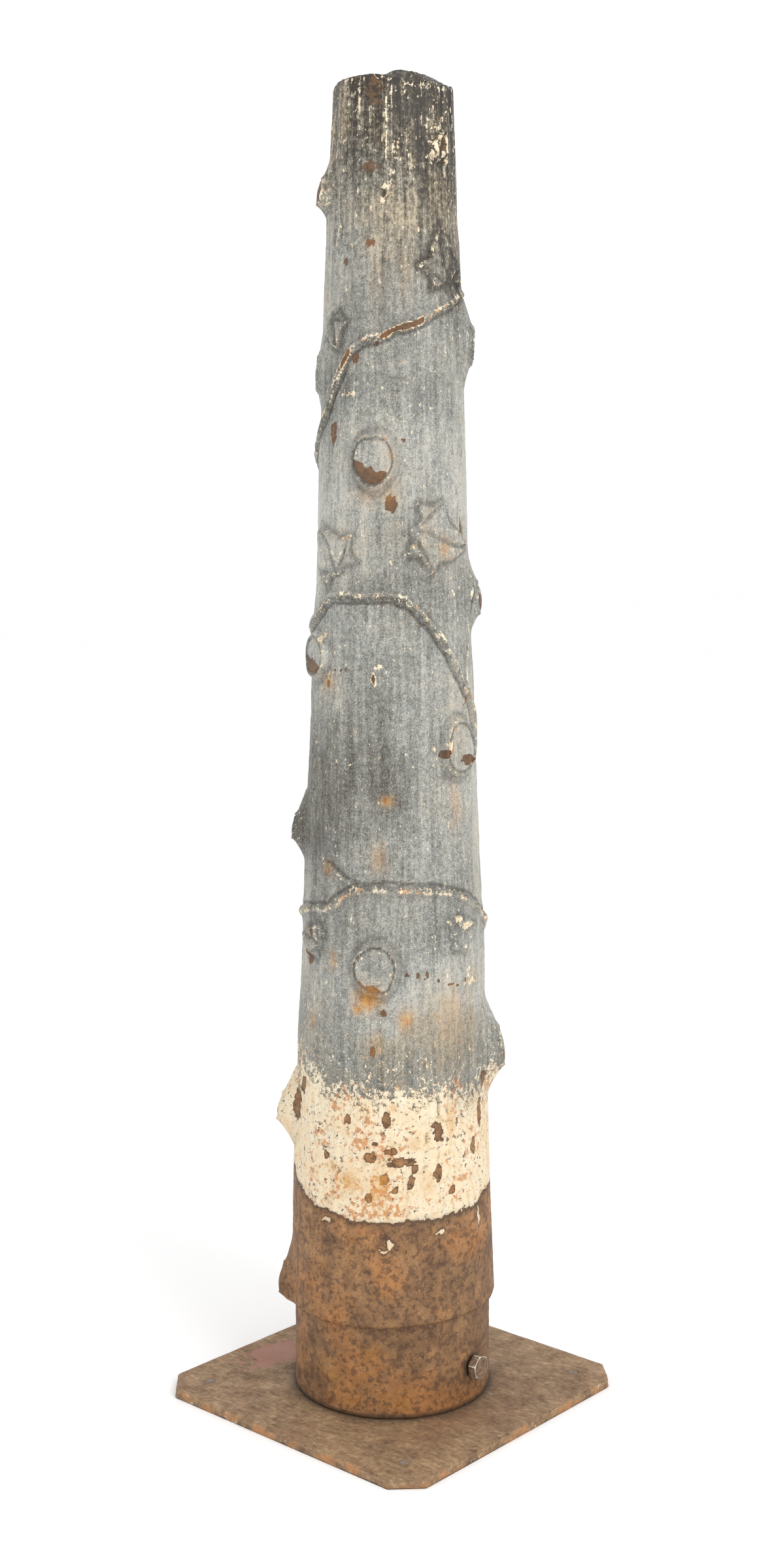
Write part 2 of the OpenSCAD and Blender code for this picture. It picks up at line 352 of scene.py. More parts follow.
# Chips down to the iron: angle, height, half width, half height, how much undercoat shows round them
chips = [
    (-50, 1197, 7, 11, 0.05), (-102, 1288, 6, 13, 0.0), (-68, 1520, 6, 5, 0.02), (-72, 1612, 15, 7, 0.0),
    (-66, 1706, 12, 20, 0.0), (2, 1644, 4, 10, 0.03), (-92, 985, 2, 2, 0.06), (-86, 985, 2.5, 2, 0.06),
    (-82, 986, 2, 2, 0.06), (-99, 968, 3, 6, 0.08), (-62, 974, 2, 6, 0.1), (8, 868, 12, 6, 0.1),
    (-12, 878, 7, 4, 0.08), (14, 1165, 3, 18, 0.04), (-39, 593, 5, 2.5, 0.04), (-33, 592, 2, 3, 0.04),
    (-27, 594, 2, 4.5, 0.06), (-29, 588, 4, 1.5, 0.04), (-19, 584, 2, 3, 0.04), (-10, 577, 5, 1.8, 0.06),
    (-5, 574, 2, 1.5, 0.1), (2, 580, 2, 3, 0.1), (-54, 545, 4, 6, 0.02), (-60, 495, 3, 8, 0.02),
    (-107, 640, 4, 9, 0.06), (-110, 605, 6, 9, 0.08), (-96, 1590, 4, 9, 0.03), (-93, 1500, 5, 4, 0.0),
    (-62, 1395, 3, 4, 0.02), (-80, 1378, 5, 5, 0.03), (-40, 1275, 3, 2, 0.05), (-50, 363, 7, 4, 0),
    (-44, 348, 15, 5, 0), (-61, 354, 6, 5, 0), (-22, 384, 8, 11, 0), (-52, 405, 5, 10, 0),
    (-75, 402, 4, 5, 0), (-22, 330, 5, 8, 0), (-47, 312, 5, 6, 0), (-53, 325, 4, 7, 0),
    (-38, 320, 4, 7, 0), (-62, 300, 4, 5, 0),
    (6, 352, 4, 9, 0), (-12, 303, 4, 5, 0), (-90, 350, 3, 5, 0), (-36, 340, 4, 5, 0), (-58, 372, 4, 3, 0),
    (-116, 430, 7, 12, 0), (-122, 400, 5, 16, 0), (14, 400, 4, 18, 0), (20, 440, 6, 10, 0),
]
# Flakes that show only the undercoat: angle, height, half width, half height
flakes = [
    (-50, 1594, 4, 17), (-58, 1568, 5, 4), (-47, 1632, 4, 12), (-88, 1335, 10, 5), (-92, 1462, 3, 6),
    (-44, 1300, 8, 2), (-4, 1664, 14, 4), (-12, 1625, 7, 6), (-9, 1640, 3, 12), (5, 1612, 3, 20),
    (-3, 1596, 6, 3), (-28, 1535, 4, 9), (-10, 1560, 5, 5), (-60, 1720, 8, 2), (-33, 1713, 9, 1.5),
    (-18, 1711, 7, 1.5), (2, 1712, 8, 1.5), (-98, 974, 9, 9), (-62, 975, 4, 10), (-58, 990, 5, 3),
    (-52, 968, 4, 3), (-104, 1028, 4, 8), (-9, 884, 3, 10), (-20, 884, 8, 2), (12, 590, 3, 6), (6, 583, 5, 2),
    (0, 578, 5, 2), (-14, 590, 5, 2), (3, 650, 10, 4), (-4, 662, 4, 6), (10, 576, 10, 4), (6, 590, 5, 8),
    (-100, 1545, 5, 6),
]
# Drips of undercoat on the rusty foot: angle, height, half width, half height
drips = [
    (-20, 251, 6, 4), (-50, 240, 4, 6), (-53, 230, 6, 3), (10, 258, 3, 12), (-88, 262, 6, 4),
    (120, 250, 8, 6),
]
# Dark smudges, and painted shadows under a leaf and under stubs: angle, height, half width, half height,
# strength
smudgesAndShadows = [
    (-103, 772, 16, 30, 0.45), (-92, 742, 16, 20, 0.3), (4, 1492, 20, 34, 0.35), (-4, 1520, 10, 20, 0.25),
    (-70, 1690, 14, 26, 0.3), (-112, 640, 10, 40, 0.25), (-12, 846, 18, 10, 0.35), (-25, 1190, 30, 26, 0.15),
    (-64, 1222, 26, 6, 0.25), (-60, 566, 26, 5, 0.2), (14, 700, 16, 60, 0.2), (-84, 1440, 24, 30, 0.2),
    (4, 425, 34, 22, 0.3), (-132, 425, 20, 50, 0.12), (-10, 200, 50, 30, 0.25), (-100, 190, 30, 16, 0.2),
]
# Dark and orange patches on the collar: angle, height, half width, half height, strength
collarSoot = [
    (0, 30, 50, 34, 0.42), (-40, 100, 60, 14, 0.34), (-50, 66, 40, 26, 0.22), (-120, 60, 30, 40, 0.2),
    (60, 70, 50, 30, 0.3), (150, 40, 60, 30, 0.3),
]
collarGlow = [
    (-86, 48, 30, 14, 0.26), (-62, 88, 20, 9, 0.3), (-44, 24, 18, 9, 0.26), (-70, 22, 12, 7, 0.22),
    (110, 60, 40, 16, 0.2),
]
# Soft orange and tan stains: angle, height, half width, half height, strength
stains = [
    (-63, 562, 17, 16, 0.95), (-70, 548, 8, 8, 0.8), (-40, 534, 9, 12, 0.75), (-52, 818, 9, 7, 0.7),
    (-57, 744, 12, 20, 0.3), (-94, 727, 9, 9, 0.6), (-88, 608, 8, 14, 0.4), (-105, 522, 8, 7, 0.6),
    (-2, 812, 10, 30, 0.28), (-8, 1142, 8, 14, 0.55), (-58, 505, 7, 12, 0.5), (-62, 1465, 14, 40, 0.1),
    (-38, 1475, 10, 36, 0.1), (-98, 968, 14, 12, 0.4), (-63, 1205, 26, 14, 0.3), (-8, 540, 24, 34, 0.22),
    (-74, 320, 18, 14, 0.75), (-56, 315, 12, 22, 0.75), (-84, 335, 10, 8, 0.6), (-28, 316, 9, 12, 0.6),
    (-12, 395, 6, 22, 0.6), (-48, 420, 6, 6, 0.6), (-66, 420, 12, 7, 0.35), (-36, 372, 8, 8, 0.5),
]
# Paint tone by height, with painted light and shade that differ from side to side: at the left, the front and
# the right of the post
shades = [
    (480, 0.66, 0.66, 0.68), (560, 0.7, 0.92, 0.9), (650, 0.68, 0.68, 0.72), (760, 0.36, 0.62, 0.88),
    (850, 0.44, 0.54, 0.86), (930, 0.62, 0.64, 0.84), (1010, 0.84, 0.66, 0.72), (1100, 0.76, 0.52, 0.64),
    (1200, 0.98, 0.82, 0.92), (1280, 0.78, 0.78, 0.78), (1350, 0.66, 0.62, 0.54), (1430, 0.72, 0.64, 0.56),
    (1500, 0.9, 0.62, 0.4), (1580, 0.7, 0.46, 0.3), (1640, 0.5, 0.28, 0.2), (1726, 0.32, 0.16, 0.02),
]
# Upper and lower edges of the band of bared undercoat: angle, height
bandTop = [(-180, 440), (-135, 462), (-110, 458), (-80, 444), (-48, 436), (-15, 440), (20, 442), (90, 445)]
bandFoot = [(-180, 280), (-135, 312), (-110, 290), (-80, 270), (-48, 264), (-15, 268), (20, 287), (90, 270)]


def barkRadius(height):
    foot = trunk["collarRadius"] + trunk["barkStep"]
    share = (height - trunk["collarHeight"]) / (trunkHeight - trunk["collarHeight"])
    return foot + (trunk["rimRadius"] - foot) * share


def lineDistance(x, y, points):
    # Distance from each place to a line through the points, how far along it that is, and on which side
    best = np.full(x.shape, 1e9)
    along = np.zeros(x.shape)
    side = np.zeros(x.shape)
    for i in range(len(points) - 1):
        start = points[i]
        run = points[i + 1] - start
        share = np.clip(((x - start[0]) * run[0] + (y - start[1]) * run[1]) / max(run @ run, 1e-12), 0, 1)
        gap = np.hypot(x - start[0] - share * run[0], y - start[1] - share * run[1])
        nearer = gap < best
        best[nearer] = gap[nearer]
        along[nearer] = ((i + share) / (len(points) - 1))[nearer]
        side[nearer] = np.sign(run[0] * (y - start[1]) - run[1] * (x - start[0]))[nearer]
    return best, along, side


def insideOutline(x, y, outline):
    inside = np.zeros(x.shape, bool)
    for i in range(len(outline)):
        (ax, ay), (bx, by) = outline[i], outline[(i + 1) % len(outline)]
        crosses = (ay > y) != (by > y)
        edge = (bx - ax) * (y - ay) / ((by - ay) if by != ay else 1e-12) + ax
        inside ^= crosses & (x < edge)
    return inside


def blot(angle, height, turn, middle, wide, tall):
    # A soft round patch on the bark, 1 at its centre
    aside = barkRadius(height) * wrapped(angle - math.radians(turn))
    return np.exp(-(aside * 1000 / wide) ** 2 - ((height * 1000 - middle) / tall) ** 2)


def flake(angle, height, turn, middle, wide, tall, seed):
    # A ragged patch with a steep edge, 1 inside
    aside = barkRadius(height) * wrapped(angle - math.radians(turn)) * 1000 / wide
    up = (height * 1000 - middle) / tall
    across = angle / (2 * math.pi)
    along = height / trunkHeight
    ragged = 0.4 * wander(seed, 90, 200, across, along) + 0.45 * wander(seed + 1, 200, 430, across, along)
    return smoothStep(1.3, 0.8, np.hypot(aside, up) + ragged)


def raiseStubs(angle, height, radius, marks):
    # Sawn branch stubs, each with a healed rim round its face
    base = barkRadius(height)
    across = angle / (2 * math.pi)
    along = height / trunkHeight
    wear, iron, paintedShade = marks["wear"], marks["bare"], marks["paintedShade"]
    for order, (turn, middle, wide, tall, stand, tilt, above, below, bare) in enumerate(stubs):
        facing = wrapped(angle - math.radians(turn))
        near = (np.abs(facing) < 1.1) & (np.abs(height - middle / 1000) < tall * 0.0036)
        a = facing[near]
        up = height[near] - middle / 1000
        centre = barkRadius(middle / 1000)
        aside = centre * np.tan(a)
        swirl = np.arctan2(up / tall, aside / wide)
        wobble = 0.03 * np.sin(swirl * 3 + order) + 0.02 * np.sin(swirl * 5 + 2 * order)
        far = np.hypot(aside * 1000 / wide, up * 1000 / tall) * (1 + wobble)
        held = up * np.minimum(1, 1.08 / np.maximum(far, 0.01))
        plane = centre + stand / 1000 - np.tan(math.radians(tilt)) * held
        spread = np.minimum(np.abs(a), np.arctan(wide * 1.1 / 1000 / centre))
        plane = plane / np.cos(spread)
        root = np.where(up > 0, above, below)
        root = root + (min(above, below) - root) * np.abs(np.cos(swirl)) ** 2
        slide = np.clip((far - 1.1) / (root - 1.1), 0, 1)
        share = 0.35 * (1 - slide) ** 3 + 0.65 * (1 - smoothStep(0, 1, slide))
        flat = smoothStep(1.06, 0.97, far)
        dish = -0.0012 * smoothStep(1.0, 0.0, far) + 0.0002 * np.sin(far * 16) * flat
        if above > 2.8:
            dish = -0.003 * np.clip(far, 0, 1.2) ** 2  # a worn knuckle has a rounded face
        callus = 0.0028 * np.exp(-((far - 1.24) / 0.14) ** 2) - 0.0024 * np.exp(-((far - 1.04) / 0.06) ** 2)
        folds = 0.001 * np.cos((far - 1.2) * 26) * smoothStep(1.75, 1.45, far) * smoothStep(1.1, 1.25, far)
        detail = radius[near] - base[near]
        own = plane + dish + callus + folds + detail * (1 - flat) * 0.6
        radius[near] = radius[near] * (1 - share) + own * share
        lowEdge = -1 + 2 * bare + 0.08 * np.cos(swirl * 5 + order) * (far < 1)
        slant = up * 950 / tall + aside * 330 / wide
        lowPart = smoothStep(lowEdge + 0.1, lowEdge - 0.1, slant)
        iron[near] = np.maximum(iron[near], 0.9 * lowPart * flat * (bare > 0))
        ragged = smoothStep(-0.4, 0.6, wander(201 + order, 70, 160, across[near], along[near]))
        wear[near] += 0.055 * np.exp(-((far - 1.0) / 0.05) ** 2) * ragged
        # Painted shade in the groove round the face and round the stub's root
        paintedShade[near] = np.maximum(paintedShade[near], 0.9 * np.exp(-((far - 1.06) / 0.05) ** 2))
        paintedShade[near] = np.maximum(paintedShade[near], 0.3 * np.exp(-((far - 1.5) / 0.1) ** 2) * (above < 2.8))


def raiseStems(angle, height, radius, marks):
    # Ivy stems, with a gouged line along one side and worn paint along the other
    base = barkRadius(height)
    across = angle / (2 * math.pi)
    along = height / trunkHeight
    wear, iron, paintedShade, bareStem = [marks[name] for name in ("wear", "bare", "paintedShade", "bareStem")]
    for order, points in enumerate(stems):
        path = curveThrough(points, 6)
        lowest, highest = path[:, 1].min() / 1000 - 0.03, path[:, 1].max() / 1000 + 0.03
        middleTurn = math.radians((path[:, 0].min() + path[:, 0].max()) / 2)
        turned = middleTurn + wrapped(angle - middleTurn)
        near = (height > lowest) & (height < highest)
        x = turned[near] * base[near].mean()
        y = height[near]
        line = np.stack([np.radians(path[:, 0]) * base[near].mean(), path[:, 1] / 1000], 1)
        gap, way, side = lineDistance(x, y, line)
        inner = -side if order == 1 else side
        ends = smoothStep(0, 0.06, way) * smoothStep(1, 0.95, way)
        uneven = 1 + 0.12 * np.sin(way * 70 + order) + 0.08 * np.sin(way * 31)
        thick = stemWidth[order] / 1000 * uneven * (0.4 + 0.6 * ends)
        swell = np.clip(1 - (gap / thick) ** 2, 0, 1) ** 0.7
        shoulder = np.exp(-(gap / (thick * 2.2)) ** 2)
        dip = np.exp(-((gap - thick * 1.25) / 0.002) ** 2) * (inner > 0)
        big = thick / 0.0055
        radius[near] += (0.0034 * swell + 0.0019 * shoulder - 0.0016 * dip) * big
        patch = smoothStep(-0.1, 0.5, wander(41 + order, 60, 120, across[near], along[near]))
        crest = np.exp(-((gap - thick * 0.5) / 0.0016) ** 2) * (inner < 0)
        wear[near] += (0.1 if order == 0 else 0.08) * crest * patch
        # Painted shade in the gouged line and over the stem on that side
        paintedShade[near] = np.maximum(paintedShade[near], 0.8 * dip)
        paintedShade[near] = np.maximum(paintedShade[near], 0.6 * swell * (inner > 0) * (order < 3))
        degrees = np.degrees(turned[near])
        for stem, start, end in bareStems:
            if stem == order:
                bare = smoothStep(start - 3, start + 2, degrees) * smoothStep(end + 3, end - 2, degrees)
                iron[near] = np.maximum(iron[near], 0.88 * bare * smoothStep(thick * 0.8, thick * 0.4, gap))
                wear[near] += 0.08 * bare * (gap < thick * 0.95)
                bareStem[near] = np.maximum(bareStem[near], bare * (gap < thick * 1.3))


def raiseLeaves(angle, height, radius, marks):
    # Ivy leaves with a curled edge and sunk veins
    across = angle / (2 * math.pi)
    along = height / trunkHeight
    wear, paintedShade = marks["wear"], marks["paintedShade"]
    for order, (turn, middle, length, spin) in enumerate(leaves):
        centre = barkRadius(middle / 1000)
        facing = wrapped(angle - math.radians(turn))
        reach = length / 1000 * 0.7
        near = (np.abs(facing) < 1.0) & (np.abs(height - middle / 1000) < reach)
        aside = centre * np.sin(facing[near])
        up = height[near] - middle / 1000
        spin = math.radians(spin)
        size = length / 1000
        p = (-up * math.cos(spin) + aside * math.sin(spin)) / size + 0.5
        q = (up * math.sin(spin) + aside * math.cos(spin)) / size
        p, q = p + 0.02 * np.sin(q * 11 + order), q + 0.025 * np.sin(p * 8 + order)
        outline = [np.array(point) for point in leafOutline] + [np.array(leafOutline[0])]
        gap = lineDistance(p, q, outline)[0]
        within = insideOutline(p, q, leafOutline)
        depth = np.where(within, gap, -gap) * size
        proud = smoothStep(-0.0012, 0.0028, depth)
        veins = np.full(p.shape, 1e9)
        for tip in ((1.0, 0), (0.4, 0.46), (0.4, -0.46), (0.03, 0.33), (0.03, -0.33)):
            gap = lineDistance(p, q, [np.array((0.04, 0)), np.array(tip)])[0]
            veins = np.minimum(veins, gap * size)
        curl = 0.0016 * np.exp(-((depth - 0.0035) / 0.0028) ** 2)
        puff = 0.0055 * proud + curl * proud - 0.0042 * np.exp(-(veins / 0.0024) ** 2) * proud
        whole = 0.65 + 0.35 * smoothStep(-0.4, 0.3, wander(211 + order, 24, 50, across[near], along[near]))
        radius[near] = radius[near] + puff * whole
        ragged = smoothStep(0.0, 0.6, wander(231 + order, 90, 180, across[near], along[near]))
        high = middle > 1400  # soot hides the undercoat there, and the painted shade in the hollows is made stronger
        wear[near] += (0.02 if high else 0.1) * np.exp(-((depth - 0.0008) / 0.0012) ** 2) * ragged
        dark = 1.5 if high else 0.9
        # Painted shadow round the leaf's edge and painted shade in its veins
        outside = np.exp(-((depth + 0.002) / 0.0032) ** 2)
        paintedShade[near] = np.maximum(paintedShade[near], 0.55 * dark * whole * outside)
        paintedShade[near] = np.maximum(paintedShade[near], 0.45 * dark * whole * np.exp(-(veins / 0.003) ** 2) * proud)


def barkSurface(angle, height):
    # Radius of the bark, marks of what its stubs, stems, leaves and chips do to the paint, and the shade
    # painted round them
    base = barkRadius(height)
    across = angle / (2 * math.pi)
    along = height / trunkHeight
    bend = np.zeros(angle.shape)
    for item in stubs:
        aside = base * wrapped(angle - math.radians(item[0]))
        up = height - item[1] / 1000
        reach = (item[2] / 1000) * 1.5
        apart = np.maximum(np.hypot(aside, up * 0.7), reach)
        bend -= aside * (reach / apart) ** 2 / base
    sway = 0.012 * wander(11, 7, 16, across, along) + 0.006 * wander(12, 16, 40, across, along)
    grain = (angle + bend) / (2 * math.pi) + sway
    calm = 0.35 + 0.65 * smoothStep(0.1, 0.45, height)
    flutes = 0.0013 * wander(21, 30, 8, grain, along) + 0.0009 * wander(22, 58, 20, grain, along)
    ridge = 1 - 2 * np.abs(wander(23, 60, 18, grain + 0.01, along))
    wrinkles = 0.0005 * ridge + 0.0004 * wander(24, 130, 60, grain, along)
    fineGrain = 0.00022 * wander(25, 300, 160, grain, along) + 0.00025 * wander(26, 360, 400, across, along)
    drift = 0.0012 * wander(27, 5, 11, across, along)
    radius = base + drift + (flutes + wrinkles) * calm + fineGrain
    names = ("wear", "bare", "paintedShade", "bareStem", "smudgeAndShadow", "stain")
    marks = {name: np.zeros(angle.shape) for name in names}
    raiseStubs(angle, height, radius, marks)
    raiseStems(angle, height, radius, marks)
    raiseLeaves(angle, height, radius, marks)

    for order, (turn, middle, wide, tall, rimmed) in enumerate(chips):
        chip = flake(angle, height, turn, middle, wide, tall, 301 + 2 * (order % 20))
        strength = 0.9 if middle < 1550 else 0.56
        marks["bare"] = np.maximum(marks["bare"], strength * chip)
        marks["wear"] += rimmed * chip
    for order, (turn, middle, wide, tall) in enumerate(flakes):
        strength = 0.13 if middle < 1500 else 0.075
        marks["wear"] += strength * flake(angle, height, turn, middle, wide, tall, 341 + 2 * order)
    # Smudges with painted shadows, and orange stains
    for name, table in (("smudgeAndShadow", smudgesAndShadows), ("stain", stains)):
        for turn, middle, wide, tall, strength in table:
            patch = strength * blot(angle, height, turn, middle, wide, tall)
            marks[name] = np.maximum(marks[name], patch)

    # A small blow hole with painted shade inside it, and the raised flash where the two halves of the mould
    # met
    hole = blot(angle, height, -57, 1581, 4.5, 4.5)
    radius -= 0.006 * hole
    marks["paintedShade"] = np.maximum(marks["paintedShade"], smoothStep(0.3, 0.8, hole))
    marks["wear"] += 0.09 * np.exp(-((hole - 0.22) / 0.12) ** 2)
    aside = base * wrapped(angle - math.radians(trunk["flashAngle"]) - 0.012 * np.sin(height * 9))
    broken = smoothStep(-0.5, 0.3, wander(51, 12, 90, across, along))
    flash = np.exp(-(aside / 0.0014) ** 2) * broken
    radius += 0.0007 * flash
    shown = smoothStep(1.45, 1.6, height) + np.exp(-((height - 1.252) / 0.02) ** 2)
    marks["wear"] += (0.02 + 0.025 * np.clip(shown, 0, 1)) * flash
    return radius, marks


trunkLow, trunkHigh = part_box("trunk_casting")
trunkZ = trunkLow.z
trunkHeight = trunkHigh.z - trunkLow.z - trunk["lipRise"]


def cutBoltHoles(points, firstCollar, lastInner):
    # A round hole through the collar for each bolt: which faces to keep, and the points and faces round it
    columns = points.shape[1]
    total = points.shape[0] * columns
    keep = np.ones(points.shape[:2], bool)
    extraPoints, extraFaces = [], []
    collar = trunk["collarRadius"]
    inner = collar - trunk["collarWall"]
    boltHeight = trunk["boltHeight"]
    for side in (0, math.pi):
        spot = math.radians(trunk["boltAngle"]) + side
        circles = []
        for outside in (True, False):
            count = range(trunk["collarRows"] + 1)
            rows = [firstCollar + i if outside else lastInner + trunk["collarRows"] - i for i in count]
            reach = collar if outside else inner
            level = points[rows, 0, 2] - trunkZ
            first = int(np.argmin(np.abs(level - (boltHeight - trunk["boltPatchLow"]))))
            last = first + trunk["boltRows"]
            centre = int(round(spot / (2 * math.pi) * columns))
            half = trunk["boltColumns"]
            across = [(centre + i) % columns for i in range(-half, half + 1)]
            lowRow, highRow = rows[first], rows[last]
            for row in range(min(lowRow, highRow), max(lowRow, highRow)):
                keep[row, across[:-1]] = False
            loop = [(lowRow, column) for column in across]
            loop += [(rows[i], across[-1]) for i in range(first + 1, last)]
            loop += [(highRow, column) for column in reversed(across)]
            loop += [(rows[i], across[0]) for i in range(last - 1, first, -1)]
            circle = []
            for row, column in loop:
                point = points[row, column]
                away = wrapped(math.atan2(point[1], point[0]) - spot) * reach
                around = math.atan2(point[2] - trunkZ - boltHeight, away)
                y = trunk["boltHole"] * math.cos(around)
                x = math.sqrt(reach * reach - y * y)
                extraPoints.append((x * math.cos(spot) - y * math.sin(spot),
                                    x * math.sin(spot) + y * math.cos(spot),
                                    trunkZ + boltHeight + trunk["boltHole"] * math.sin(around)))
                circle.append(total + len(extraPoints) - 1)
            quads = bridge([row * columns + column for row, column in loop], circle)
            extraFaces += quads if outside else [quad[::-1] for quad in quads]
            circles.append(circle)
        extraFaces += bridge(circles[0], circles[1])
    return keep, extraPoints, extraFaces


def barkPaint(angle, height, radius, relief):
    # The marks that the paint follows. Edges wear first and the hollows are painted darker, so both come from
    # how the bark bends.
    bend = np.zeros(radius.shape)
    for step in (1, 2, 4):
        sides = np.roll(radius, step, 1) + np.roll(radius, -step, 1)
        ends = np.vstack([radius[:step], radius[:-step]]) + np.vstack([radius[step:], radius[-step:]])
        bend += (radius * 4 - sides - ends) / (step * 0.0025)
    across = angle / (2 * math.pi)
    along = height / trunkHeight
    side = np.degrees(wrapped(angle))
    calm = smoothStep(0.44, 0.5, height)
    wear = 0.37 + relief["wear"] + 0.1 * np.clip(bend - 0.15, 0, 1) * (0.1 + 0.9 * calm)
    greyLine = np.interp(side, *zip(*bandTop), period=360) / 1000
    for strength, seed, wide, tall in ((0.008, 81, 9, 20), (0.012, 86, 40, 60), (0.006, 87, 130, 200)):
        greyLine = greyLine + strength * wander(seed, wide, tall, across, along)
    rustLine = np.interp(side, *zip(*bandFoot), period=360) / 1000
    for strength, seed, wide, tall in ((0.006, 82, 12, 20), (0.005, 88, 50, 60), (0.003, 89, 180, 400)):
        rustLine = rustLine + strength * wander(seed, wide, tall, across, along)
    inBand = smoothStep(greyLine + 0.09, greyLine - 0.06, height)
    inFoot = smoothStep(rustLine + 0.004, rustLine - 0.004, height)
    wear += 0.2 * inBand
    for order, (turn, middle, wide, tall) in enumerate(drips):
        inFoot = inFoot * (1 - flake(angle, height, turn, middle, wide, tall, 391 + 2 * order))
    bare = np.maximum(relief["bare"] + 0.33 * smoothStep(0.5, 1, inBand), inFoot)
    facing = np.sin(np.radians(side + 48))  # -1 at the left of the front view, 1 at its right
    # Paint tone with painted light and shade, by height and by side of the front view
    heights, lefts, fronts, rights = zip(*shades)
    here = height * 1000
    tone = np.interp(here, heights, fronts) * (1 - np.abs(facing))
    tone += np.interp(here, heights, lefts) * np.clip(-facing, 0, 1)
    tone += np.interp(here, heights, rights) * np.clip(facing, 0, 1)
    tone += 0.07 * wander(83, 6, 14, across, along) + 0.05 * wander(84, 20, 40, across, along)
    smoke = smoothStep(1.42, 1.66, height + 0.04 * facing + 0.03 * wander(85, 30, 20, across, along))
    # Painted shade darkens the grooves
    tone -= 0.28 * relief["paintedShade"]
    tone += 0.16 * blot(angle, height, -22, 1672, 24, 20)
    wear += 0.05 * smoothStep(1.5, 1.66, height)
    warmth = 0.15 + 0.35 * smoothStep(0.62, 0.5, height) + 0.25 * smoothStep(1.45, 1.5, height)
    for turn, middle, wide, tall in ((0, 820, 60, 120), (-40, 1180, 60, 60), (-5, 540, 70, 60)):
        warmth += 0.4 * blot(angle, height, turn, middle, wide, tall)
    # Painted shade in the grooves, darker hollows, smudges with painted shadows, and a dark border under the
    # undercoat band
    grime = 0.35 * relief["paintedShade"] * (1 - relief["bareStem"]) + 0.25 * np.clip(-bend, 0, 1)
    grime *= 1 - 0.8 * inFoot
    grime += relief["smudgeAndShadow"] + 0.45 * np.exp(-((rustLine - height - 0.004) / 0.006) ** 2)
    grime += 0.14 * inFoot * smoothStep(0.24, 0.16, height)
    return {"wear": wear, "bare": bare, "tone": tone, "smoke": smoke, "warmth": np.clip(warmth, 0, 1),
            "stain": relief["stain"], "grime": grime}


def markCollar(points, marks):
    # A painted shadow ring behind each bolt, then soot and orange rust on the collar
    around = np.arctan2(points[:, 1], points[:, 0])
    level = points[:, 2] - trunkZ
    collar = trunk["collarRadius"]
    for side in (0, math.pi):
        away = wrapped(around - (math.radians(trunk["boltAngle"]) + side)) * collar
        gap = np.hypot(away, level - trunk["boltHeight"])
        marks["grime"] = np.maximum(marks["grime"], 0.85 * smoothStep(0.024, 0.013, gap))
    onCollar = level * 1000 < trunk["collarHeight"] * 1000 + 20
    for name, table in (("grime", collarSoot), ("stain", collarGlow)):
        for turn, middle, wide, tall, strength in table:
            away = wrapped(around - math.radians(turn)) * collar * 1000
            patch = strength * np.exp(-(away / wide) ** 2 - ((level * 1000 - middle) / tall) ** 2)
            marks[name] = np.maximum(marks[name], patch * onCollar)


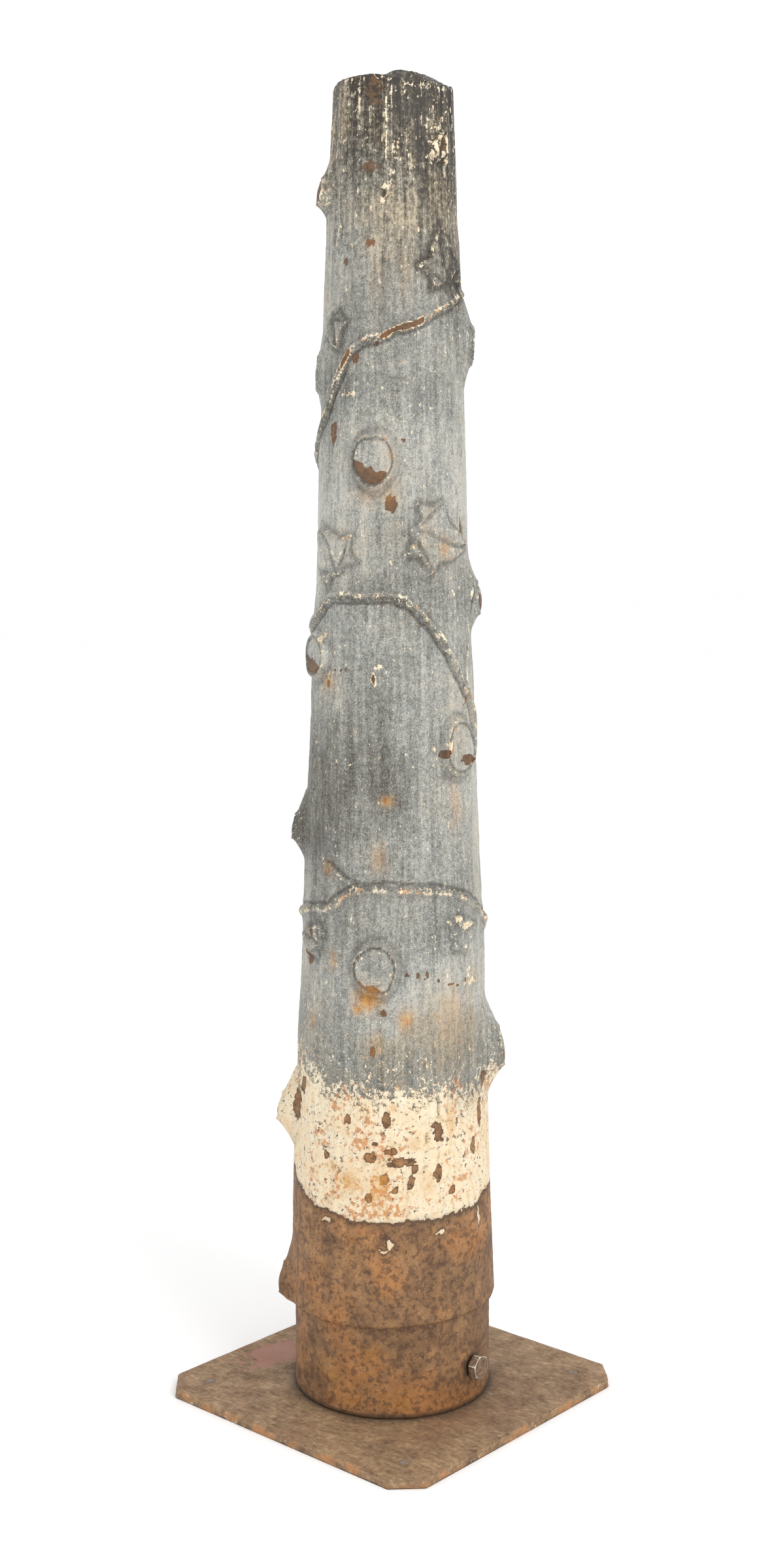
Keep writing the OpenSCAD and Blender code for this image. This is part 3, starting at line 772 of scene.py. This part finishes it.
def buildTrunk():
    columns = trunk["columns"]
    turn = np.arange(columns) / columns * 2 * math.pi
    spots, drops, rises = [np.array(values, float) for values in zip(*lip)]
    drop = np.interp(np.degrees(turn), spots, drops, period=360) / 1000
    rise = np.interp(np.degrees(turn), spots, rises, period=360) / 1000
    drop, rise = [sum(np.roll(values, step) for step in range(-6, 7)) / 13 for values in (drop, rise)]
    onLip = smoothStep(0, 0.003, drop)
    way = turn / (2 * math.pi)
    nibbles = wander(61, 90, 2, way, 0)
    rimEdge = trunkHeight - drop * (1 + 0.12 * nibbles) - 0.0008 * np.clip(nibbles, 0, 1)
    boreEdge = trunkHeight + rise * (0.95 + 0.05 * nibbles)
    boreEdge -= 0.0008 * (1 + nibbles) * (1 - onLip)
    stepEdge = trunk["stepHeight"] + 0.005 * np.cos(turn - 0.17)
    stepEdge = stepEdge + 0.0015 * wander(62, 14, 2, way, 0) + 0.0008 * wander(63, 70, 2, way, 0)
    rings = []
    surfaces = []

    def addRing(radius, height, kind):
        radius = radius + 0 * turn
        height = height + 0 * turn
        rings.append(np.stack([radius * np.cos(turn), radius * np.sin(turn), trunkZ + height], 1))
        surfaces.append(kind)

    collar = trunk["collarRadius"]
    inner = collar - trunk["collarWall"]
    footLevel = trunk["collarFoot"]
    addRing(collar - 0.002, 0, "collar")
    firstCollar = len(rings)
    for i in range(trunk["collarRows"] + 1):
        share = i / trunk["collarRows"]
        rough = 0.0003 * wander(71, 60, 14, way, share) + 0.0002 * wander(72, 200, 38, way, share)
        addRing(collar + rough - 0.0003, footLevel + share * (stepEdge - footLevel), "collar")
    addRing(collar + 0.0035, stepEdge + 0.0003, "collar")

    barkShare = np.linspace(0, 1, trunk["barkRows"])[:, None]
    barkHeight = stepEdge[None] + 0.001 + barkShare * (rimEdge - stepEdge - 0.001)[None]
    angle = np.repeat(turn[None], trunk["barkRows"], 0)
    radius, relief = barkSurface(angle, barkHeight)
    aboveStep = barkHeight - stepEdge[None]
    radius -= 0.003 * np.exp(-aboveStep / 0.0015)
    radius -= 0.0015 * np.exp(-(rimEdge[None] - barkHeight) / 0.0012)
    firstBark = len(rings)
    for i in range(trunk["barkRows"]):
        addRing(radius[i], barkHeight[i], "bark")
    bore = trunk["rimRadius"] - trunk["rimWall"]
    for share in (0.12, 0.3, 0.5, 0.7, 0.9, 1.0):
        streak = 0.0006 * wander(73, 110, 6, way, share)
        out = radius[-1] * (1 - share) + bore * share
        up = rimEdge * (1 - share) + boreEdge * share - 0.0004 + np.minimum(streak, 0.0004)
        addRing(out, up, "rim")
    boreFoot = trunkHeight - trunk["boreLength"]
    for share in np.linspace(0.12, 1, 12):
        addRing(bore, boreEdge * (1 - share) + boreFoot * share, "bore")
    for share in np.linspace(0.04, 1, 25):
        height = boreFoot * (1 - share) + trunk["collarHeight"] * share
        addRing(bore * (1 - share) + inner * share, height, "bore")
    lastInner = len(rings)
    for i in range(trunk["collarRows"], -1, -1):
        share = i / trunk["collarRows"]
        addRing(inner, footLevel + share * (trunk["collarHeight"] - footLevel), "bore")
    addRing(inner + 0.002, 0, "bore")

    points = np.array(rings)
    faces = np.array(ringFaces(len(rings), columns, True)).reshape(len(rings), columns, 4)
    keep, extraPoints, extraFaces = cutBoltHoles(points, firstCollar, lastInner)
    barkMarks = barkPaint(angle, barkHeight, radius, relief)
    marks = {}
    for name in barkMarks:
        values = np.zeros((len(rings), columns))
        for i, kind in enumerate(surfaces):
            values[i] = barkMarks[name][i - firstBark] if kind == "bark" else usualMarks[kind][name]
        if name == "grime":
            values[:firstCollar + 2] = 0.75  # painted shade where the collar meets the plate
        inHoles = np.full(len(extraPoints), usualMarks["bore"][name])
        marks[name] = np.concatenate([values.ravel(), inHoles])
    kept = faces[keep].tolist() + extraFaces
    points = np.vstack([points.reshape(-1, 3), np.array(extraPoints)])
    markCollar(points, marks)
    points[:, 2] = np.clip(points[:, 2], trunkZ, trunkHigh.z)
    paint = paintedIron()
    makePiece("ivy_trunk", points, kept, "trunk", "trunk_casting", paint, marks)


buildTrunk()
print("trunk casting built")


# Base plate
plate = {
    "inset": 0.034, "cells": 152, "corner": 0.0015, "worn": 0.0004, "underEdge": 0.0012,
    "hole": 0.00705, "holeInset": 0.0505, "holeCells": 4,
}


def plateSteel():
    # Brown mill plate: scuffed one way, orange and chipped along its edges, dark where it meets the collar
    (noise, ramp, between, add, times, blend, finish), around, mark = startMaterial("rusted_plate")
    patchy = noise(26, 8, 0.68)
    fine = noise(150, 6, 0.7)
    grain = noise(600, 3, 0.65)
    scuffs = noise(210, 6, 0.7, (0.25, 1, 1), -0.73)
    colour = ramp(add(times(patchy, 0.36), times(fine, 0.34), times(scuffs, 0.3)),
                  [(0.38, 100, 76, 54), (0.46, 142, 112, 82), (0.53, 168, 136, 100), (0.62, 208, 174, 132)])
    colour = blend(between(noise(9, 5, 0.6), 0.5, 0.66, 0.0, 0.35), colour, tint(142, 96, 66))
    colour = blend(between(scuffs, 0.6, 0.7, 0.0, 0.4), colour, tint(206, 178, 150))
    pinkish = add(mark("pink"), around(patchy, 1.9))
    colour = blend(between(pinkish, 0.42, 0.5, 0.0, 0.9), colour, tint(178, 126, 108))
    orange = add(mark("edge"), around(patchy, 3.0, 0.6))
    colour = blend(between(orange, 0.45, 0.75, 0.0, 0.8), colour, tint(198, 136, 82))
    chipped = add(mark("edge"), around(fine, 4.0, 0.6))
    colour = blend(between(chipped, 0.9, 1.0, 0.0, 0.8), colour, tint(226, 212, 192))
    colour = blend(mark("shade"), colour, tint(52, 38, 28))
    height = add(times(patchy, 0.6), times(scuffs, 0.5), times(fine, 0.5), times(grain, 0.3))
    return finish(colour, between(patchy, 0.35, 0.65, 0.82, 0.6), height, 0.0006)


def buildPlate():
    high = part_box("base_plate")[1]
    half = high.x
    thick = high.z
    face = thick - plate["worn"]
    cells = plate["cells"]
    span = np.linspace(-1, 1, cells + 1)

    def layer(inset, level, rough=0.0):
        # A grid over the plate with its corners clipped
        y = span * (half - inset)
        clip = plate["inset"] + inset * 0.4
        widest = (half - inset) - np.maximum(0, np.abs(y) - (half - inset - clip))
        x = span[None] * widest[:, None]
        y = np.repeat(y[:, None], cells + 1, 1)
        z = level + rough * wander(91, 19, 17, (x + half) / (2.2 * half), (y + half) / (2 * half))
        return np.stack([x, y, z], 2)

    def border(grid):
        return np.concatenate([grid[0, :-1], grid[:-1, -1], grid[-1, :0:-1], grid[:0:-1, 0]])

    count = (cells + 1) ** 2
    points = [layer(plate["corner"], face, 0.0003).reshape(-1, 3)]
    upper = np.arange(count).reshape(cells + 1, cells + 1)
    keep = np.ones((cells, cells), bool)
    faces = []
    extraPoints, extraFaces = [], []

    # Down the edge, ring by ring, with small nicks
    edgeWay = np.arange(4 * cells) / (4 * cells)
    nick = 0.0007 * (1 + wander(92, 90, 2, edgeWay, 0)) + 0.0003 * (1 + wander(93, 300, 2, edgeWay, 0))
    loops = [border(upper)]
    levels = [(0.0005, thick - 0.0006), (0.0, thick - 0.0017), (0.0, thick * 0.5), (0.0, 0.0015),
              (plate["underEdge"], 0.0)]
    start = count
    for inset, level in levels:
        ring = border(layer(inset, level))
        inward = 1 - (np.abs(nick) / half) * (0.3 if 0 < level < thick * 0.4 else 1)
        points.append(ring * np.stack([inward, inward, np.ones(len(inward))], 1))
        loops.append(np.arange(start, start + len(ring)))
        start += len(ring)
    for loopBelow, loopAbove in zip(loops[1:], loops[:-1]):
        faces += bridge(loopBelow, loopAbove)
    points.append(layer(plate["underEdge"], 0.0).reshape(-1, 3))
    underside = np.arange(start, start + count).reshape(cells + 1, cells + 1)
    start += count
    faces += bridge(border(underside), loops[-1])

    # The four round holes for the corner plugs
    points = np.vstack(points)
    reach = half - plate["holeInset"]
    wide = plate["holeCells"]
    for spotX, spotY in ((-reach, -reach), (-reach, reach), (reach, -reach), (reach, reach)):
        circles = []
        column = int(np.argmin(np.abs(points[upper[cells // 2], 0] - spotX)))
        row = int(np.argmin(np.abs(points[upper[:, cells // 2], 1] - spotY)))
        keep[row - wide:row + wide, column - wide:column + wide] = False
        for grid, level in ((upper, face), (underside, 0.0)):
            ring = border(grid[row - wide:row + wide + 1, column - wide:column + wide + 1])
            circle = []
            for item in ring:
                around = math.atan2(points[item, 1] - spotY, points[item, 0] - spotX)
                x = spotX + plate["hole"] * math.cos(around)
                y = spotY + plate["hole"] * math.sin(around)
                extraPoints.append((x, y, level))
                circle.append(start + len(extraPoints) - 1)
            quads = bridge(ring, circle)
            extraFaces += quads if grid is upper else [quad[::-1] for quad in quads]
            circles.append(circle)
        extraFaces += bridge(circles[0], circles[1])
    for i in range(cells):
        for j in range(cells):
            if keep[i, j]:
                faces.append((upper[i, j], upper[i, j + 1], upper[i + 1, j + 1], upper[i + 1, j]))
                faces.append((underside[i, j], underside[i + 1, j], underside[i + 1, j + 1],
                              underside[i, j + 1]))

    points = np.vstack([points, np.array(extraPoints)])
    x, y = points[:, 0], points[:, 1]
    edges = np.minimum(half - np.abs(x), half - np.abs(y))
    edges = np.minimum(edges, (half * 2 - plate["inset"] - np.abs(x) - np.abs(y)) * 0.7)
    fromCollar = np.hypot(x, y) - trunk["collarRadius"]
    marks = {
        "edge": np.exp(-np.clip(edges, 0, 1) / 0.003),
        "pink": 0.8 * np.exp(-((x + 0.18) / 0.04) ** 2 - ((y + 0.06) / 0.07) ** 2),
        "shade": 0.8 * np.exp(-np.clip(fromCollar, 0, 1) / 0.008),
    }
    faces = [tuple(int(value) for value in face) for face in faces + extraFaces]
    makePiece("worn_plate", points, faces, "base", "base_plate", plateSteel(), marks)


buildPlate()
print("base plate built")


def lathe(profile, columns, centre=(0, 0, 0), rough=None):
    # Rings of a turned shape. The profile is radius and height, and rough adds to the radius.
    turn = np.arange(columns) / columns * 2 * math.pi
    rings = []
    for order, (radius, height) in enumerate(profile):
        out = radius + (rough(order, turn) if rough else 0 * turn)
        rings.append(np.stack([centre[0] + out * np.cos(turn), centre[1] + out * np.sin(turn),
                               centre[2] + height + 0 * turn], 1))
    return np.array(rings)


# Corner plugs
plug = {
    "columns": 48, "chamfer": 0.0006, "dish": 0.0005,
    "shades": [(0.36, 96, 82, 68), (0.48, 136, 120, 104), (0.6, 158, 144, 126), (0.7, 184, 170, 150)],
    "orange": (150, 112, 82),
}
plugSteel = rustySteel("plug_steel", plug["shades"], plug["orange"], 4.0, 0.0, 0.0003)
for node in ("corner_plug_front", "corner_plug_right", "corner_plug_back", "corner_plug_left"):
    low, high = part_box(node)
    radius = (high.x - low.x) / 2
    thick = high.z
    cut = plug["chamfer"]
    dish = plug["dish"]
    profile = [(0.0008, 0.0), (radius - cut, 0.0), (radius, cut), (radius, thick - cut)]
    profile += [(radius - cut, thick), (radius * 0.6, thick - dish * 0.6), (radius * 0.25, thick - dish)]
    profile += [(0.0003, thick - dish)]
    rings = lathe(profile, plug["columns"], ((low.x + high.x) / 2, (low.y + high.y) / 2, 0))
    faces = cappedFaces(len(rings), plug["columns"])
    makePiece(node + "_disc", rings, faces, "base", node, plugSteel)
print("corner plugs built")


# Tube stub and its weld
tube = {
    "columns": 160, "rows": 24, "wall": 0.0082, "cut": 0.001, "pits": 0.0002,
    "shades": [(0.34, 54, 48, 44), (0.46, 86, 74, 64), (0.56, 118, 96, 78), (0.68, 150, 118, 90)],
    "orange": (142, 94, 60),
}


def tubePits(order, turn):
    return -tube["pits"] * np.abs(wander(101, 40, 30, turn / 2 / math.pi, order / 60))


low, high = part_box("spigot_tube")
outer = (high.x - low.x) / 2
inner = outer - tube["wall"]
cut = tube["cut"]
levels = np.linspace(low.z + cut, high.z - cut, tube["rows"])
profile = [(outer - cut, low.z)] + [(outer, level) for level in levels]
profile += [(outer - cut, high.z), (inner + cut, high.z)]
profile += [(inner, level) for level in levels[::-1]] + [(inner + cut, low.z)]
tubeRings = lathe(profile, tube["columns"], (0, 0, 0), tubePits)
tubeFaces = ringFaces(len(tubeRings), tube["columns"], True)
tubeSteel = rustySteel("tube_steel", tube["shades"], tube["orange"], 1.6, 0.25, 0.0004)
makePiece("tube_stub", tubeRings, tubeFaces, "base", "spigot_tube", tubeSteel)

weld = {
    "columns": 480, "ripples": 150, "section": 8, "rippleHeight": 0.0011, "uneven": 0.0009,
    "shades": [(0.34, 60, 54, 50), (0.48, 104, 92, 82), (0.6, 140, 120, 100), (0.7, 166, 138, 112)],
    "orange": (140, 92, 58),
}
low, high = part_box("spigot_weld")
reach = (high.x - low.x) / 2
leg = high.z - low.z
turn = np.arange(weld["columns"]) / weld["columns"] * 2 * math.pi
uneven = 0.5 + 0.5 * wander(102, 60, 2, turn / 2 / math.pi, 0)
weldRings = []
for i in range(weld["section"] + 1):
    share = i / weld["section"]
    belly = math.sin(share * math.pi)
    scallop = 0.5 + 0.5 * np.sin(turn * weld["ripples"] + 2.2 * belly)
    swell = belly * (weld["rippleHeight"] * scallop + weld["uneven"] * uneven)
    out = reach - leg * share - 0.0006 * uneven * (1 - share)
    level = low.z + leg * share * (1 - 0.08 * uneven) - 0.0012 * belly + swell
    weldRings.append(np.stack([out * np.cos(turn), out * np.sin(turn), np.minimum(level, high.z)], 1))
inside = reach - leg
weldRings.append(np.stack([inside * np.cos(turn), inside * np.sin(turn), low.z + 0 * turn], 1))
weldFaces = ringFaces(len(weldRings), weld["columns"], True)
weldSteel = rustySteel("weld_bead", weld["shades"], weld["orange"], 3.0, 0.35, 0.0003)
makePiece("weld_ring", np.array(weldRings), weldFaces, "base", "spigot_weld", weldSteel)
print("tube stub and weld built")


# Set bolts
bolt = {
    "columns": 72, "shank": 0.0095, "headHeight": 0.012, "stand": 0.003, "tipGap": 0.0003, "flats": 0.0286,
    "pitch": 0.0025, "depth": 0.0008, "washer": 0.0006, "turn": 0.3, "chamferAngle": 30,
}


def boltFinish():
    # Rusty brown steel, rubbed bright where a spanner has worn the edges of the head
    (noise, ramp, between, add, times, blend, finish), around, mark = startMaterial("bolt_steel")
    patchy = noise(150, 6, 0.65)
    fine = noise(600, 4, 0.65)
    colour = ramp(add(times(patchy, 0.6), times(fine, 0.4)),
                  [(0.36, 84, 62, 46), (0.46, 120, 94, 72), (0.54, 146, 118, 92), (0.64, 178, 148, 118)])
    rubbed = add(mark("edge"), around(fine, 1.6))
    colour = blend(between(rubbed, 0.5, 0.8), colour, tint(232, 222, 204))
    height = add(times(patchy, 0.6), times(fine, 0.4))
    return finish(colour, between(patchy, 0.35, 0.65, 0.75, 0.5), height, 0.0004)


boltSteel = boltFinish()


def buildBolt(node, body, side):
    low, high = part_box(node)
    middle = (low.z + high.z) / 2
    spot = math.radians(trunk["boltAngle"] + side)
    turn = np.arange(bolt["columns"]) / bolt["columns"] * 2 * math.pi
    apothem = bolt["flats"] / 2
    headStart = trunk["collarRadius"] + bolt["stand"]
    farEnd = headStart + bolt["headHeight"]
    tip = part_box("spigot_tube")[1].x + bolt["tipGap"]
    fromFlat = (turn + bolt["turn"]) % (math.pi / 3) - math.pi / 6
    hexagon = apothem / np.cos(fromFlat)
    corners = smoothStep(0.38, 0.5, np.abs(fromFlat))
    rings = []
    worn = []

    def addRing(along, radius, rub=0.0):
        rings.append((along, radius + 0 * turn))
        worn.append(rub + 0 * turn)

    addRing(tip, 0.0004)
    addRing(tip, bolt["shank"] - 0.0016)
    for along in np.arange(tip + 0.0012, headStart - 0.0006, bolt["pitch"] / 6):
        phase = (along / bolt["pitch"] + turn / (2 * math.pi)) % 1
        addRing(along, bolt["shank"] - bolt["depth"] * np.abs(phase - 0.5) * 2)
    addRing(headStart, bolt["shank"] - 0.0005)
    addRing(headStart, apothem * 0.94)
    addRing(headStart + bolt["washer"], apothem * 0.95)
    addRing(headStart + bolt["washer"], np.minimum(hexagon, apothem * 1.02))
    slope = math.tan(math.radians(bolt["chamferAngle"]))
    for share in (0.1, 0.25, 0.5, 0.75, 0.88, 0.95, 1.0):
        along = headStart + bolt["washer"] + (bolt["headHeight"] - bolt["washer"]) * share
        below = apothem * 1.04 + (farEnd - along) / slope
        above = apothem * 1.02 + (along - headStart) / slope
        addRing(along, np.minimum(hexagon, np.minimum(below, above)) - 0.0001,
                np.maximum(corners * 0.8, 1.0 if share > 0.9 else 0.0))
    addRing(farEnd - 0.0001, np.minimum(hexagon, apothem * 1.04) * 0.93)
    addRing(farEnd - 0.0005, apothem * 0.4)
    addRing(farEnd - 0.0005, 0.0004)
    points = []
    for along, radius in rings:
        across = radius * np.cos(turn)
        up = radius * np.sin(turn)
        points.append(np.stack([along * math.cos(spot) - across * math.sin(spot),
                                along * math.sin(spot) + across * math.cos(spot), middle + up], 1))
    faces = cappedFaces(len(rings), bolt["columns"])
    marks = {"edge": np.array(worn)}
    makePiece(node + "_hex", np.array(points), faces, body, node, boltSteel, marks)


buildBolt("set_bolt_right", "right_bolt", 0)
buildBolt("set_bolt_left", "left_bolt", 180)
print("set bolts built")


# Floor and light
stage = {"size": 60, "key": 40, "fill": 10, "sky": 1.1, "aimHeight": 0.9}
floorMesh = bpy.data.meshes.new("studio_floor")
edge = stage["size"]
floorPoints = [(-edge, -edge, 0), (edge, -edge, 0), (edge, edge, 0), (-edge, edge, 0)]
floorMesh.from_pydata(floorPoints, [], [(0, 1, 2, 3)])
floorMaterial = bpy.data.materials.new("pale_floor")
floorMaterial.use_nodes = True
floorShader = floorMaterial.node_tree.nodes["Principled BSDF"]
floorShader.inputs["Base Color"].default_value = (0.9, 0.9, 0.9, 1)
floorShader.inputs["Roughness"].default_value = 0.9
floorMesh.materials.append(floorMaterial)
floor = bpy.data.objects.new("studio_floor", floorMesh)
scene.collection.objects.link(floor)

world = bpy.data.worlds.new("soft_sky")
scene.world = world
world.use_nodes = True
sky = world.node_tree.nodes["Background"]
sky.inputs["Color"].default_value = (1, 1, 1, 1)
sky.inputs["Strength"].default_value = stage["sky"]


def addLight(name, place, size, power):
    light = bpy.data.lights.new(name, "AREA")
    light.shape = "RECTANGLE"
    light.size, light.size_y = size
    light.energy = power
    lamp = bpy.data.objects.new(name, light)
    lamp.location = place
    x, y, z = np.array([0, 0, stage["aimHeight"]]) - np.array(place)
    lamp.rotation_euler = (math.atan2(math.hypot(x, y), -z), 0, math.atan2(x, -y) + math.pi)
    scene.collection.objects.link(lamp)


addLight("key_light", (2.6, -0.6, 2.2), (1.2, 2.4), stage["key"])
addLight("fill_light", (-1.2, -2.8, 1.6), (1.6, 2.4), stage["fill"])
print("floor and light set")
